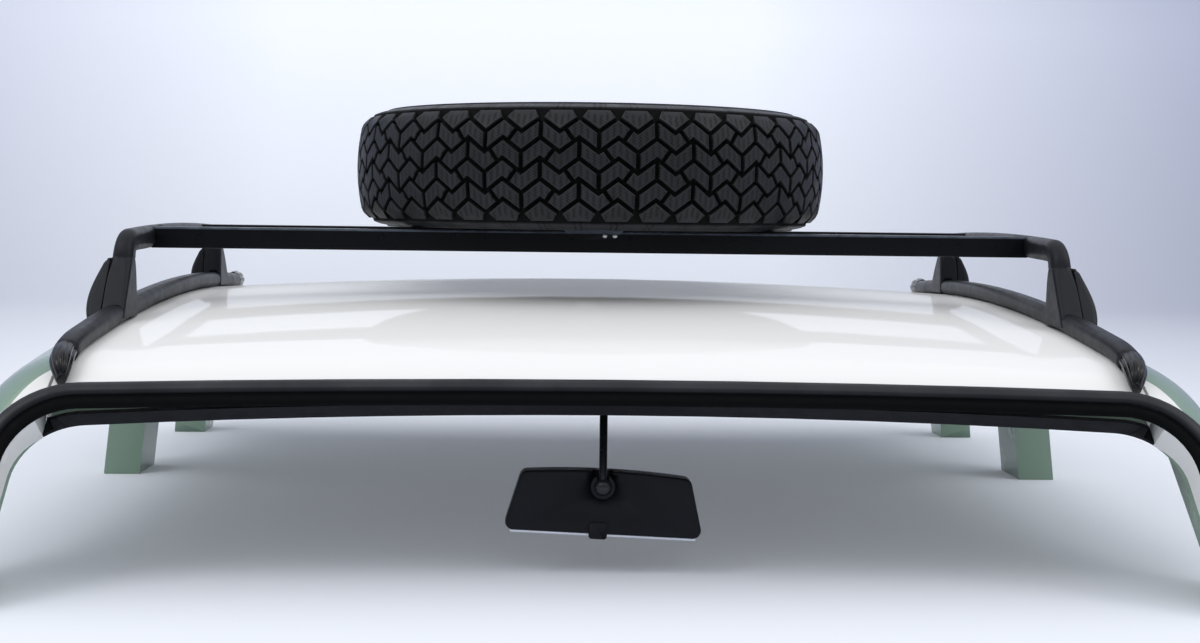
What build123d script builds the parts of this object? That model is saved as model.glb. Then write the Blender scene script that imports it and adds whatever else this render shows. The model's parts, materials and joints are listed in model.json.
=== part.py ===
"""Roof section of a small 4x4 car with its roof rails, rack and spare wheel.

The section is the whole roof as cut from the body: white roof panel, green
body sides with short pillar stubs, the rubber surround of the windscreen's
top edge and the interior mirror under the header. The rack is two arched side
members on moulded feet that saddle the roof rails, with two crossbars between
them. The spare wheel lies on the bars, held by a strap, a stud and a hand nut.

Millimetres, +Z up, the car's front towards -Y, so its own left is +X.
The model is drawn with Z = 0 at the crossbars' top and Y = 0 midway between
them. Last of all it is moved to stand on Z = 0, centred in X and Y.
"""
from build123d import *
from math import asin, cos, degrees, pi, radians, sin, sqrt, tan
import os

# Roof: its side line is one long arc with a tighter arc at each end
CREST_Y = 100.0            # highest station of the roof, behind mid-bars
CREST_Z = -67.0            # roof's highest point, below the bars' top
ROOF_RADIUS = 4600.0       # long arc of the side line
FRONT_BREAK_Y = -440.0     # station where the front's tighter arc begins
FRONT_RADIUS = 200.0
REAR_BREAK_Y = 560.0
REAR_RADIUS = 240.0
REAR_TURN = 24.0           # degrees of slope at the roof's rear edge
FRONT_EDGE_TURN = 34.5     # and at its front edge, in the middle
ROOF_HALF_WIDTH = 509.0
ROOF_CROWN = 17.0          # rise of the middle over the side edges
ROOF_SKIN = 4.0
ROOF_FLANGE = 16.0         # height of the side flange

# Windscreen opening
RAKE = 35.0                # degrees of the windscreen plane from upright
SEAL_WIDTH = 26.0
SEAL_PROUD = 9.0           # height of the seal's ridge over the frame
SEAL_CORNER_RADIUS = 74.0
SEAL_HALF_WIDTH = ROOF_HALF_WIDTH + 42.0   # seal's middle line where the side run begins
SEAL_CROWN_RADIUS = 15400.0
SEAL_SIDE_LEAN = 5.0       # degrees that the side run leans outwards
FRAME_EDGE = 4.0           # frame seen outside the seal
FRAME_DEPTH = 32.0         # frame's depth behind the windscreen plane
OPENING_REACH = 150.0      # how far the opening is cut before and behind that plane

# Body sides
SIDE_INSET = ROOF_HALF_WIDTH + 3.0   # upper inner edge of the side, beside the roof
CANT_DEPTH = 84.0          # drop from the roof's edge to the door opening
CANT_WIDTH = 94.0
SIDE_LEAN = 18.0           # how far the side spreads from opening to cut
PILLAR_WALL = 46.0         # thickness of the pillars from outside to inside
PILLAR_RUN = 360.0         # length of the cut that shapes the front pillar
STAND_Z = -325.0           # where the pillars are cut and the section stands
CUT_BELOW = 120.0          # how far the side's openings are cut on below that
A_PILLAR = 106.0
DOOR_REAR_Y = 130.0
B_PILLAR = 84.0
WINDOW_REAR_Y = 535.0
OPENING_RADIUS = 46.0
SIDE_REAR_Y = 640.0
SIDE_FRONT_Y = -760.0      # past the windscreen plane, which cuts it

# Headers, headlining and trim
HEADER_DEPTH = 17.0
HEADER_HALF_WIDTH = ROOF_HALF_WIDTH - 3.0
HEADER_START_TURN = 9.0
HEADER_END_TURN = 52.0
TRIM_SKIN = 4.0
LINING_DROP = 19.0         # headlining below the roof's underside
LINING_SKIN = 5.0

# Roof rails
RAIL_X = ROOF_HALF_WIDTH - 4.0
RAIL_WIDTH = 22.0
RAIL_HEIGHT = 20.0
RAIL_ROUND = 8.0
RAIL_FRONT_TURN = 13.0     # degrees past the front break to the rail's end
RAIL_REAR_Y = 402.0
BOOT_WIDTH = 24.0
BOOT_HEIGHT = 24.0
BOOT_LOBES = 8             # ridges along the boot
BOOT_VALLEY = 0.44         # reach of the grooves between them, as a share of its width
BOOT_LENGTH = 44.0
BOOT_SHAPE = ((0.0, 0.94), (0.3, 1.0), (0.75, 0.94), (1.0, 0.5))   # place along it and size there

# Rack: two arched side members on feet, two crossbars between them
BAR_SPACING = 278.0
BAR_HEIGHT = 24.0
BAR_DEPTH = 32.0
BAR_WALL = 2.0
BAR_ROUND = 2.0
BAR_SEAT = 5.0             # how far a bar's end sits in the side member
PLUG_LENGTH = 22.0         # side member's plug inside the bar's end
SIDE_X = RAIL_X - 2.5      # side member's middle line, above the rail
SIDE_WIDTH = 19.0
SIDE_HEIGHT = 25.0
SIDE_ROUND = 8.5
SIDE_TOP = 2.8             # its highest point over the bars' top
SIDE_RADIUS = 6500.0       # arch of the side member
SIDE_END_Y = 238.0         # where its ends meet the feet's elbows
ELBOW_INSIDE = 6.0         # radius inside the elbow's bend
SPIGOT_RADIUS = 5.0        # foot's spigot in the side member's end
SPIGOT_LENGTH = 18.0
FOOT_Y = 258.0             # where the foot's height over the rail is taken
LEG_SPREAD = 15.0          # how far the leg's shut line leans out to the base
LEG_INNER_SPREAD = 3.0
LEG_BASE_LENGTH = 68.0     # foot's length along the rail
LEG_BACK_SHARE = 0.08      # share of its growth towards mid-car
LEG_SHARES = (0.34, 0.66, 1.0)        # heights of the leg's sections below the elbow
LEG_OVERLAP = 2.0          # how far the leg reaches up inside the elbow
LEG_SETBACK = 0.8          # and how much slimmer it is there
COVER_THICK = (3.5, 11.2, 15.2, 12.5)   # cover's thickness at the leg's sections
COVER_RISE = 9.0           # its tip above the leg's top
COVER_TIP = 2.0            # and the tip's thickness
EDGE_ROUND = 6.0           # free upright edges of leg and cover
SHUT_ROUND = 0.8           # edges of the shut line
FOOT_HOLD = 7.0            # how far the foot reaches below the rail's middle
SHUT_GAP = 0.8
FIT_GAP = 0.3              # seat gap between pieces that rest on each other

# Spare wheel and its carrier
TYRE_RADIUS = 282.0
TYRE_WIDTH = 138.0
TYRE_SEAT = 2.3            # tyre's underside over the bars' top
RIM_RADIUS = 165.0
RIM_HALF_WIDTH = 52.0
DISC_OFFSET = 30.0         # wheel disc above the wheel's middle plane
BOLT_CIRCLE = 98.0
BOLT_COUNT = 4
BOLT_HOLE_RADIUS = 6.5
HUB_HOLE_RADIUS = 29.0
VENT_CIRCLE = 208.0
VENT_COUNT = 8
VENT_RADIUS = 9.0
STRAP_WIDTH = 25.0
STRAP_THICK = 4.0
STRAP_DROP = 14.0          # strap's top below the bars' top
CLIP_WIDTH = 66.0
CLIP_THICK = 2.0
CLIP_LIP = 9.0             # depth of the clip's rounded lip
CLIP_LEG = 22.0            # depth of its inner leg, which holds the strap
STUD_RADIUS = 5.0
STUD_HEAD_RADIUS = 10.0
STUD_HEAD = 6.0
STUD_SPARE = 8.0           # stud's length above the nut
CLAMP_RADIUS = 42.0
CLAMP_THICK = 5.0
NUT_RADIUS = 19.0
NUT_HEIGHT = 22.0
NUT_FLUTE = 7.0

# Interior mirror
MIRROR_Y = -490.0          # ball and stem
BALL_Z = -237.0
BALL_RADIUS = 8.5
CUP_RADIUS = 11.8
STEM_RADIUS = 3.8
STEM_HOLD = 7.0            # length of the stem inside its base
MIRROR_BOTTOM_WIDTH = 192.0
MIRROR_TOP_WIDTH = 162.0
MIRROR_HEIGHT = 57.0       # at the corners
MIRROR_CROWN = 4.0         # rise of the top edge between them
MIRROR_DEPTH = 20.0
MIRROR_CORNER = 8.0
MIRROR_EDGE = 3.0          # rounding of the back's edge
MIRROR_ROLL = 2.7          # degrees that the mirror's left end hangs lower
MIRROR_OFFSET = 5.0        # housing's back behind the ball's centre
MIRROR_SHIFT = 3.0         # housing's middle towards the car's left
MIRROR_DROP = 18.5         # and below the ball's centre
MIRROR_LIP = 3.0           # housing's edge round the glass
GLASS_THICK = 2.4
TAB_WIDTH = 17.5
TAB_HEIGHT = 15.5
TAB_REACH = 4.0            # how far the tab hangs below the housing
TAB_THICK = 2.5
BASE_WIDTH = 80.0
BASE_DEPTH = 38.0
BASE_BOTTOM_Z = -174.5
BASE_DOME = 4.0            # rise of the base's underside to its ends

LONG_FRONT_TURN = degrees(asin((CREST_Y - FRONT_BREAK_Y) / ROOF_RADIUS))
LONG_REAR_TURN = degrees(asin((REAR_BREAK_Y - CREST_Y) / ROOF_RADIUS))
CREST_CENTRE_Z = CREST_Z - ROOF_RADIUS
SIDE_AXIS = (1, 0, 0)
FAR = 3000.0               # reach of blocks that only cut


def turned(radius, turn):
    """Y and Z at an angle forward along the long arc, for a given radius."""
    angle = radians(turn)
    return CREST_Y - radius * sin(angle), CREST_CENTRE_Z + radius * cos(angle)


def arc_axis(turn):
    """The axis that a section at this turn is carried about."""
    if turn > LONG_FRONT_TURN:
        centre = turned(ROOF_RADIUS - FRONT_RADIUS, LONG_FRONT_TURN)
    elif turn < -LONG_REAR_TURN:
        centre = turned(ROOF_RADIUS - REAR_RADIUS, -LONG_REAR_TURN)
    else:
        centre = (CREST_Y, CREST_CENTRE_Z)
    return Axis((0, centre[0], centre[1]), SIDE_AXIS)


def station(section, turn):
    """A section drawn at the crest, moved along the roof's side line."""
    long_turn = max(-LONG_REAR_TURN, min(turn, LONG_FRONT_TURN))
    moved = section.rotate(arc_axis(0), long_turn)
    if turn != long_turn:
        moved = moved.rotate(arc_axis(turn), turn - long_turn)
    return moved


def carry(section, start, end):
    """Sweep a crest section along the roof's side line between two turns."""
    stops = [start]
    stops += [turn for turn in (-LONG_REAR_TURN, LONG_FRONT_TURN) if start < turn < end]
    stops.append(end)
    pieces = []
    for low, high in zip(stops, stops[1:]):
        axis = arc_axis((low + high) / 2)
        pieces.append(revolve(station(section, low), axis, high - low))
    return pieces[0] if len(pieces) == 1 else pieces[0].fuse(*pieces[1:]).clean()


def long_turn_at(y, radius=ROOF_RADIUS):
    """Turn of the station whose point at this radius lies at y, on the long arc."""
    return degrees(asin((CREST_Y - y) / radius))


def crest_face(*edges):
    """A closed section in the upright plane at the crest, drawn in X and Z."""
    return Plane.XZ.offset(-CREST_Y) * make_face(Curve() + list(edges))


def crown_z(x, depth=0.0):
    """Height of the roof's cross arc, lowered by a depth."""
    radius = ROOF_HALF_WIDTH ** 2 / (2 * ROOF_CROWN)
    return CREST_Z - x * x / (2 * radius) - depth


def arch(half_width, depth):
    """Cross arc of the roof, lowered by a depth, from left to right."""
    edge = crown_z(half_width, depth)
    return ThreePointArc((-half_width, edge), (0, crown_z(0, depth)), (half_width, edge))


def band(half_width, top_depth, bottom_depth):
    """Crest section between two arches of the same width."""
    top, bottom = arch(half_width, top_depth), arch(half_width, bottom_depth)
    return crest_face(top, Line(top @ 1, bottom @ 1), bottom, Line(bottom @ 0, top @ 0))


def side_view(*points, fillet_radius=0.0):
    """A plate through the whole width from a side outline of Y and Z points."""
    face = make_face(Polyline(*points, close=True))
    if fillet_radius:
        face = fillet(face.vertices(), fillet_radius)
    return extrude(Plane.YZ * face, FAR / 2, both=True)


def floor_block():
    """Everything below the floor that the section stands on."""
    return Pos(0, 0, STAND_Z - FAR / 2) * Box(FAR, FAR, FAR)


def mirrored(shape):
    """The same piece on the other side of the car."""
    return mirror(shape, Plane.YZ)


FRONT_CENTRE = turned(ROOF_RADIUS - FRONT_RADIUS, LONG_FRONT_TURN)
FRONT_EDGE = (FRONT_CENTRE[0] - FRONT_RADIUS * sin(radians(FRONT_EDGE_TURN)),
              FRONT_CENTRE[1] + FRONT_RADIUS * cos(radians(FRONT_EDGE_TURN)))
SCREEN = Plane(origin=(0, FRONT_EDGE[0], FRONT_EDGE[1]), x_dir=SIDE_AXIS,
               z_dir=(0, -cos(radians(RAKE)), sin(radians(RAKE))))
ROOF_EDGE_Z = crown_z(ROOF_HALF_WIDTH)
RAIL_Z = crown_z(RAIL_X) + FIT_GAP + RAIL_HEIGHT / 2


def behind_screen(shape, setback=0.0):
    """Cut a piece off at the windscreen plane."""
    return split(shape, bisect_by=SCREEN.offset(-setback), keep=Keep.BOTTOM)


def screen_y(z):
    """Y of the windscreen plane at a height."""
    return FRONT_EDGE[0] - (FRONT_EDGE[1] - z) * tan(radians(RAKE))


# Roof panel
def roof_panel():
    """Crowned skin with a flange turned down along each side."""
    outer = arch(ROOF_HALF_WIDTH, 0)
    inner = arch(ROOF_HALF_WIDTH - ROOF_SKIN, ROOF_SKIN)
    foot = ROOF_EDGE_Z - ROOF_FLANGE
    section = crest_face(
        outer,
        Polyline(outer @ 1, (ROOF_HALF_WIDTH, foot), (ROOF_HALF_WIDTH - ROOF_SKIN, foot), inner @ 1),
        inner,
        Polyline(inner @ 0, (ROOF_SKIN - ROOF_HALF_WIDTH, foot), (-ROOF_HALF_WIDTH, foot), outer @ 0))
    panel = carry(section, -REAR_TURN, HEADER_END_TURN)
    return behind_screen(panel) - screen_opening(0)


# Body sides
def side_profile():
    """Outer line of a side in cross-section, from the roof's edge down."""
    low_z = ROOF_EDGE_Z - CANT_DEPTH
    start = (SIDE_INSET, ROOF_EDGE_Z)
    middle = (SIDE_INSET + 0.64 * CANT_WIDTH, ROOF_EDGE_Z - 0.34 * CANT_DEPTH)
    return ThreePointArc(start, middle, (SIDE_INSET + CANT_WIDTH, low_z))


def body_side():
    """Cant rail with its three pillars, cut off to stand on the floor."""
    outer = side_profile()
    low_x, low_z = SIDE_INSET + CANT_WIDTH, ROOF_EDGE_Z - CANT_DEPTH
    cut_z = STAND_Z - 60
    spread = SIDE_LEAN * (low_z - cut_z) / (low_z - STAND_Z)
    section = crest_face(
        outer,
        Polyline(outer @ 1, (low_x + spread, cut_z), (low_x + spread - PILLAR_WALL, cut_z),
                 (low_x - PILLAR_WALL, low_z), (SIDE_INSET, ROOF_EDGE_Z - 28), outer @ 0))
    rear_turn, front_turn = long_turn_at(SIDE_REAR_Y), long_turn_at(SIDE_FRONT_Y)
    wall = revolve(section.rotate(arc_axis(0), rear_turn), arc_axis(0), front_turn - rear_turn)
    deep = 70
    above = crest_face(
        outer,
        Polyline(outer @ 1, (low_x + SIDE_LEAN * deep / (low_z - STAND_Z), low_z - deep),
                 (low_x + 60, low_z - deep), (low_x + 60, ROOF_EDGE_Z + 60),
                 (SIDE_INSET - 20, ROOF_EDGE_Z + 60), (SIDE_INSET - 20, ROOF_EDGE_Z), outer @ 0))
    pillar_turn = 90 - RAKE
    front_cap = revolve(station(above, LONG_FRONT_TURN), arc_axis(90), pillar_turn - LONG_FRONT_TURN)
    down = (0, -sin(radians(RAKE)), -cos(radians(RAKE)))
    pillar_cap = extrude(station(above, pillar_turn), PILLAR_RUN, dir=down)
    rear_cap = revolve(station(above, -LONG_REAR_TURN), arc_axis(-90), -62)
    wall = behind_screen(wall - front_cap - pillar_cap - rear_cap)
    outside = Pos(SIDE_INSET + FAR / 2, 0, 0) * Box(FAR, FAR, FAR)
    wall = (wall + (screen_frame() & outside)) - screen_opening(SEAL_WIDTH / 2)
    door = side_view((screen_y(low_z) + A_PILLAR + 12, low_z - 42),
                     (screen_y(STAND_Z - CUT_BELOW) + A_PILLAR, STAND_Z - CUT_BELOW),
                     (DOOR_REAR_Y, STAND_Z - CUT_BELOW), (DOOR_REAR_Y, low_z - 8), (-300, low_z - 18),
                     fillet_radius=OPENING_RADIUS / 2)
    window = side_view((DOOR_REAR_Y + B_PILLAR, low_z - 8), (DOOR_REAR_Y + B_PILLAR, STAND_Z - CUT_BELOW),
                       (WINDOW_REAR_Y + 30, STAND_Z - CUT_BELOW), (WINDOW_REAR_Y, low_z - 12),
                       fillet_radius=OPENING_RADIUS / 2)
    return wall - door - window - floor_block()


# Headers, headlining and trim
def front_header():
    """Box beam under the roof's front edge, set back behind the trim."""
    section = band(HEADER_HALF_WIDTH - ROOF_SKIN, ROOF_SKIN + FIT_GAP, ROOF_SKIN + HEADER_DEPTH)
    beam = carry(section, HEADER_START_TURN, HEADER_END_TURN)
    return behind_screen(beam) - screen_opening(SEAL_WIDTH / 2 - TRIM_SKIN - FIT_GAP)


def rear_header():
    """Box beam under the roof's rear edge."""
    section = band(HEADER_HALF_WIDTH - ROOF_SKIN, ROOF_SKIN + FIT_GAP, ROOF_SKIN + HEADER_DEPTH)
    return carry(section, -REAR_TURN, -LONG_REAR_TURN - 1.0)


def header_trim():
    """Dark moulded strip over the front header's underside and its front."""
    top = ROOF_SKIN + HEADER_DEPTH + FIT_GAP
    strip = carry(band(SIDE_INSET - FIT_GAP, top, top + TRIM_SKIN), HEADER_START_TURN, HEADER_END_TURN)
    whole = carry(band(HEADER_HALF_WIDTH - ROOF_SKIN, ROOF_SKIN + FIT_GAP, top + TRIM_SKIN / 2),
                  LONG_FRONT_TURN + 1, HEADER_END_TURN)
    upstand = whole & screen_opening(SEAL_WIDTH / 2 - TRIM_SKIN)
    return behind_screen(strip.fuse(upstand).clean()) - screen_opening(SEAL_WIDTH / 2)


def headlining():
    """Arched lining board between the headers."""
    top = ROOF_SKIN + LINING_DROP
    section = band(HEADER_HALF_WIDTH - ROOF_SKIN, top, top + LINING_SKIN)
    return carry(section, -LONG_REAR_TURN - 0.8, HEADER_START_TURN - 0.2)


# Windscreen surround
def screen_line(inward=0.0):
    """Half of the seal's middle line in the windscreen plane, or a line inside it."""
    crown_turn = degrees(asin((SEAL_HALF_WIDTH - SEAL_CORNER_RADIUS) / SEAL_CROWN_RADIUS))
    top = JernArc((0, -SEAL_WIDTH / 2 - inward), (1, 0), SEAL_CROWN_RADIUS - inward, -crown_turn)
    corner = JernArc(top @ 1, top % 1, SEAL_CORNER_RADIUS - inward, -(90 - crown_turn - SEAL_SIDE_LEAN))
    run = (FRONT_EDGE[1] - STAND_Z) / cos(radians(RAKE))
    side = Line(corner @ 1, corner @ 1 + (corner % 1) * run)
    return [top, corner, side]


def screen_opening(inward):
    """Space of the windscreen through the body, square to its plane."""
    top, corner, side = screen_line(inward)
    middle = Polyline(side @ 1, (0, (side @ 1).Y), top @ 0)
    face = make_face(Curve() + [top, corner, side, middle])
    half = extrude(SCREEN * face, OPENING_REACH, both=True)
    return half.fuse(mirrored(half)).clean()


def screen_sweep(*edges):
    """Sweep a section, drawn outwards and forwards, along the windscreen's line."""
    path = SCREEN * (Curve() + screen_line())
    start = Plane(origin=path @ 0, x_dir=SCREEN.y_dir, z_dir=SIDE_AXIS)
    return sweep(start * make_face(Curve() + list(edges)), path=path)


def screen_frame():
    """Raised frame of the opening, left half, that the seal sits on."""
    inner, outer = -SEAL_WIDTH / 2, SEAL_WIDTH / 2 + FRAME_EDGE
    return screen_sweep(
        Polyline((outer - FRAME_EDGE, 0), (inner, 0), (inner, -FRAME_DEPTH), (outer, -FRAME_DEPTH),
                 (outer, -FRAME_EDGE)),
        ThreePointArc((outer, -FRAME_EDGE), (outer - 0.3 * FRAME_EDGE, -0.3 * FRAME_EDGE),
                      (outer - FRAME_EDGE, 0)))


def windscreen_seal():
    """Rubber surround of the top and corners, swept in the windscreen plane."""
    half, ridge = SEAL_WIDTH / 2, SEAL_PROUD
    swept = screen_sweep(
        Polyline((-half, 0.3 * ridge), (-half, FIT_GAP), (half, FIT_GAP), (half, 0.28 * ridge)),
        ThreePointArc((half, 0.28 * ridge), (0.7 * half, 0.84 * ridge), (0.3 * half, ridge)),
        ThreePointArc((0.3 * half, ridge), (-0.05 * half, 0.85 * ridge), (-0.16 * half, 0.5 * ridge)),
        ThreePointArc((-0.16 * half, 0.5 * ridge), (-0.55 * half, 0.62 * ridge), (-0.92 * half, 0.48 * ridge)),
        Line((-0.92 * half, 0.48 * ridge), (-half, 0.3 * ridge)))
    return swept.fuse(mirrored(swept)).clean() - floor_block()


# Roof rails with ribbed boots
def rail_section(width, height, rounding):
    """Rounded section of a rail at the crest, seated over the roof's edge."""
    centre = Plane.XZ.offset(-CREST_Y) * Pos(RAIL_X, RAIL_Z + (height - RAIL_HEIGHT) / 2, 0)
    return centre * RectangleRounded(width, height, rounding)


def rail_front_turn():
    return LONG_FRONT_TURN + RAIL_FRONT_TURN


def rail(extra=0.0):
    """Rail over the roof's edge; extra widens it for the feet's saddles."""
    section = rail_section(RAIL_WIDTH + 2 * extra, RAIL_HEIGHT + 2 * extra, RAIL_ROUND + extra)
    section = section.moved(Location((0, 0, -extra)))
    return carry(section, long_turn_at(RAIL_REAR_Y), rail_front_turn())


def boot_section(size):
    """Section of a boot at the crest: an oval of lobes, standing on the roof."""
    step = 2 * pi / BOOT_LOBES
    valley, peak = BOOT_VALLEY * size, 0.5 * size
    centre_z = RAIL_Z - RAIL_HEIGHT / 2 + 0.5 * size * BOOT_HEIGHT

    def at(turn, reach):
        return RAIL_X + reach * BOOT_WIDTH * sin(turn), centre_z + reach * BOOT_HEIGHT * cos(turn)

    lobes = [ThreePointArc(at((lobe - 0.5) * step, valley), at(lobe * step, peak), at((lobe + 0.5) * step, valley))
             for lobe in range(BOOT_LOBES)]
    return crest_face(*lobes)


def boot(start, length):
    """Rubber boot over a rail's end, ribbed along its length, with a round nose."""
    return loft([station(boot_section(size), start + place * length) for place, size in BOOT_SHAPE])


# Rack: side members
def side_turn():
    """Turn of the side member's ends about its arch's centre."""
    return degrees(asin(SIDE_END_Y / SIDE_RADIUS))


def side_member():
    """Arched tube above the rail, with plugs for the bars' ends."""
    axis = Axis((0, 0, SIDE_TOP - SIDE_RADIUS), SIDE_AXIS)
    tube = revolve(side_section().rotate(axis, -side_turn()), axis, 2 * side_turn())
    inner = SIDE_X - SIDE_WIDTH / 2
    for y in (-BAR_SPACING / 2, BAR_SPACING / 2):
        seat = Pos(inner + BAR_SEAT / 2, y, -BAR_HEIGHT / 2) * Box(
            BAR_SEAT, BAR_DEPTH + 2 * FIT_GAP, BAR_HEIGHT + 2 * FIT_GAP)
        hollow = 2 * (BAR_WALL + FIT_GAP)
        plug = Pos(inner + BAR_SEAT - PLUG_LENGTH / 2, y, -BAR_HEIGHT / 2) * Box(
            PLUG_LENGTH, BAR_DEPTH - hollow, BAR_HEIGHT - hollow)
        tube = (tube - seat).fuse(plug)
    for end in (-1, 1):
        tube -= spigot(end, SPIGOT_RADIUS + FIT_GAP)
    return tube.clean()


def side_section():
    """Section of the side member in the plane Y = 0."""
    return Plane.XZ * Pos(SIDE_X, SIDE_TOP - SIDE_HEIGHT / 2) * RectangleRounded(
        SIDE_WIDTH, SIDE_HEIGHT, SIDE_ROUND)


def spigot(end, radius):
    """Round peg along the side member's middle line, across its joint with a foot."""
    low_z = SIDE_TOP - SIDE_HEIGHT / 2 - (SIDE_RADIUS - sqrt(SIDE_RADIUS ** 2 - SIDE_END_Y ** 2))
    middle = Pos(SIDE_X, end * SIDE_END_Y, low_z) * Rotation(90 + end * side_turn(), 0, 0)
    return middle * Cylinder(radius, 2 * SPIGOT_LENGTH)


# Crossbars
def crossbar(y):
    """Rectangular tube between the side members."""
    half = SIDE_X - SIDE_WIDTH / 2 + BAR_SEAT - FIT_GAP
    outer = RectangleRounded(BAR_DEPTH, BAR_HEIGHT, BAR_ROUND)
    inner = Rectangle(BAR_DEPTH - 2 * BAR_WALL, BAR_HEIGHT - 2 * BAR_WALL)
    tube = extrude(Plane.YZ * (outer - inner), half, both=True)
    return Pos(0, y, -BAR_HEIGHT / 2) * tube


# Feet, drawn at the front
def elbow_axis():
    """The axis that the side member's end bends down about."""
    reach = SIDE_RADIUS - SIDE_HEIGHT - ELBOW_INSIDE
    turn = radians(side_turn())
    return Axis((0, -reach * sin(turn), SIDE_TOP - SIDE_RADIUS + reach * cos(turn)), SIDE_AXIS)


def foot_plan(z, low_x, high_x, share, low_round, high_round, inset=0.0):
    """Level section of a foot: its edge nearest mid-car stays, the front one runs out."""
    back = elbow_axis().position.Y - ELBOW_INSIDE
    growth = (LEG_BASE_LENGTH - SIDE_HEIGHT) * max(share, 0.0)
    rear = back + LEG_BACK_SHARE * growth - inset
    front = back - SIDE_HEIGHT - (1 - LEG_BACK_SHARE) * growth + inset
    face = make_face(Polyline((low_x, rear), (high_x, rear), (high_x, front), (low_x, front), close=True))
    face = fillet([corner for corner in face.vertices() if corner.X < (low_x + high_x) / 2], low_round)
    face = fillet([corner for corner in face.vertices() if abs(corner.X - high_x) < 1e-6], high_round)
    return Pos(0, 0, z) * face


def leg_outer_x(share):
    """Shut line of the leg at a share of its height, from elbow to base."""
    return SIDE_X + SIDE_WIDTH / 2 + LEG_SPREAD * max(share, 0.0) ** 0.6


def foot(rail_z):
    """Elbow and leg whose base saddles the rail."""
    top, bottom = elbow_axis().position.Z, rail_z - FOOT_HOLD
    member = Axis((0, 0, SIDE_TOP - SIDE_RADIUS), SIDE_AXIS)
    end_turn = side_turn() + degrees(FIT_GAP / SIDE_RADIUS)
    elbow = revolve(side_section().rotate(member, end_turn), elbow_axis(), 90 - end_turn)
    half = SIDE_WIDTH / 2 - LEG_SETBACK
    plans = [foot_plan(top + LEG_OVERLAP, SIDE_X - half, SIDE_X + half, 0, SIDE_ROUND - LEG_SETBACK,
                       SIDE_ROUND - LEG_SETBACK, LEG_SETBACK)]
    for share in LEG_SHARES:
        inner = SIDE_X - SIDE_WIDTH / 2 - LEG_INNER_SPREAD * share
        plans.append(foot_plan(top + share * (bottom - top), inner, leg_outer_x(share), share,
                               EDGE_ROUND, SHUT_ROUND))
    return elbow.fuse(loft(plans), spigot(-1, SPIGOT_RADIUS)).clean()


def foot_cover(rail_z):
    """Outer cover of a foot, over the clamp screw, drawn on the leg's own sections."""
    top, bottom = elbow_axis().position.Z, rail_z - FOOT_HOLD

    def plan(share, rise, thickness):
        inner = leg_outer_x(share) + SHUT_GAP
        return foot_plan(top + share * (bottom - top) + rise, inner, inner + thickness, share,
                         SHUT_ROUND, min(EDGE_ROUND, 0.45 * thickness))

    plans = [plan(0, LEG_OVERLAP, COVER_THICK[0])]
    plans += [plan(share, 0, thickness) for share, thickness in zip(LEG_SHARES, COVER_THICK[1:])]
    tip = loft([plan(0, COVER_RISE, COVER_TIP), plans[0]])
    return tip.fuse(loft(plans)).clean()


# Spare wheel
WHEEL_Z = TYRE_SEAT + TYRE_WIDTH / 2


def spin(*edges):
    """Revolve a half section of radius and height about the wheel's axis."""
    return revolve(Plane.XZ * make_face(Curve() + list(edges)), Axis.Z, 360)


def tyre():
    """Tyre body without its tread pattern, hollow as the real one."""
    half = TYRE_WIDTH / 2
    tread = ThreePointArc((TYRE_RADIUS - 5.5, 19 - half), (TYRE_RADIUS, 0), (TYRE_RADIUS - 5.5, half - 19))
    bead = RIM_RADIUS + FIT_GAP
    bead_half = RIM_HALF_WIDTH - FIT_GAP
    bulge, seat = TYRE_RADIUS - 42, bead + 8
    upper = [ThreePointArc(tread @ 1, (TYRE_RADIUS - 18, half - 7), (bulge, half)),
             ThreePointArc((bulge, half), (seat + 0.475 * (bulge - seat), half - 4.5), (seat, bead_half)),
             Polyline((seat, bead_half), (bead, bead_half), (bead, bead_half - 11), (bead + 12, bead_half - 11)),
             ThreePointArc((bead + 12, bead_half - 11), (TYRE_RADIUS - 60, half - 13), (TYRE_RADIUS - 22, half - 24))]
    crown = ThreePointArc((TYRE_RADIUS - 22, half - 24), (TYRE_RADIUS - 18, 0), (TYRE_RADIUS - 22, 24 - half))
    lower = [mirror(edge, Plane.XZ) for edge in upper]
    return Pos(0, 0, WHEEL_Z) * spin(tread, *upper, crown, *lower)


def rim():
    """Pressed steel wheel, its dished disc towards the top."""
    half = RIM_HALF_WIDTH
    disc = DISC_OFFSET
    barrel = Polyline((RIM_RADIUS + 8, half + 0.3), (RIM_RADIUS + 8, half + 3), (RIM_RADIUS - 3.5, half + 3),
                      (RIM_RADIUS - 3.5, half - 12), (RIM_RADIUS - 22, half - 24), (RIM_RADIUS - 22, -half + 34),
                      (RIM_RADIUS - 3.5, -half + 22), (RIM_RADIUS - 3.5, -half - 3), (RIM_RADIUS + 8, -half - 3),
                      (RIM_RADIUS + 8, -half - 0.3), (RIM_RADIUS, -half - 0.3), (RIM_RADIUS, -half + 20),
                      (RIM_RADIUS - 18.5, -half + 32), (RIM_RADIUS - 18.5, half - 22), (RIM_RADIUS, half - 10),
                      (RIM_RADIUS, half + 0.3), close=True)
    dish = Polyline((HUB_HOLE_RADIUS, disc - 4), (78, disc - 4), (92, disc + 6), (116, disc + 6),
                    (RIM_RADIUS - 21, disc - 12), (RIM_RADIUS - 21, disc - 8), (118, disc + 10),
                    (90, disc + 10), (76, disc), (HUB_HOLE_RADIUS, disc), close=True)
    wheel = spin(barrel).fuse(spin(dish)).clean()
    holes = PolarLocations(BOLT_CIRCLE / 2, BOLT_COUNT) * Cylinder(BOLT_HOLE_RADIUS, TYRE_WIDTH)
    vents = PolarLocations(VENT_CIRCLE / 2, VENT_COUNT) * Cylinder(VENT_RADIUS, TYRE_WIDTH)
    return Pos(0, 0, WHEEL_Z) * (wheel - holes - vents)


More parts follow.
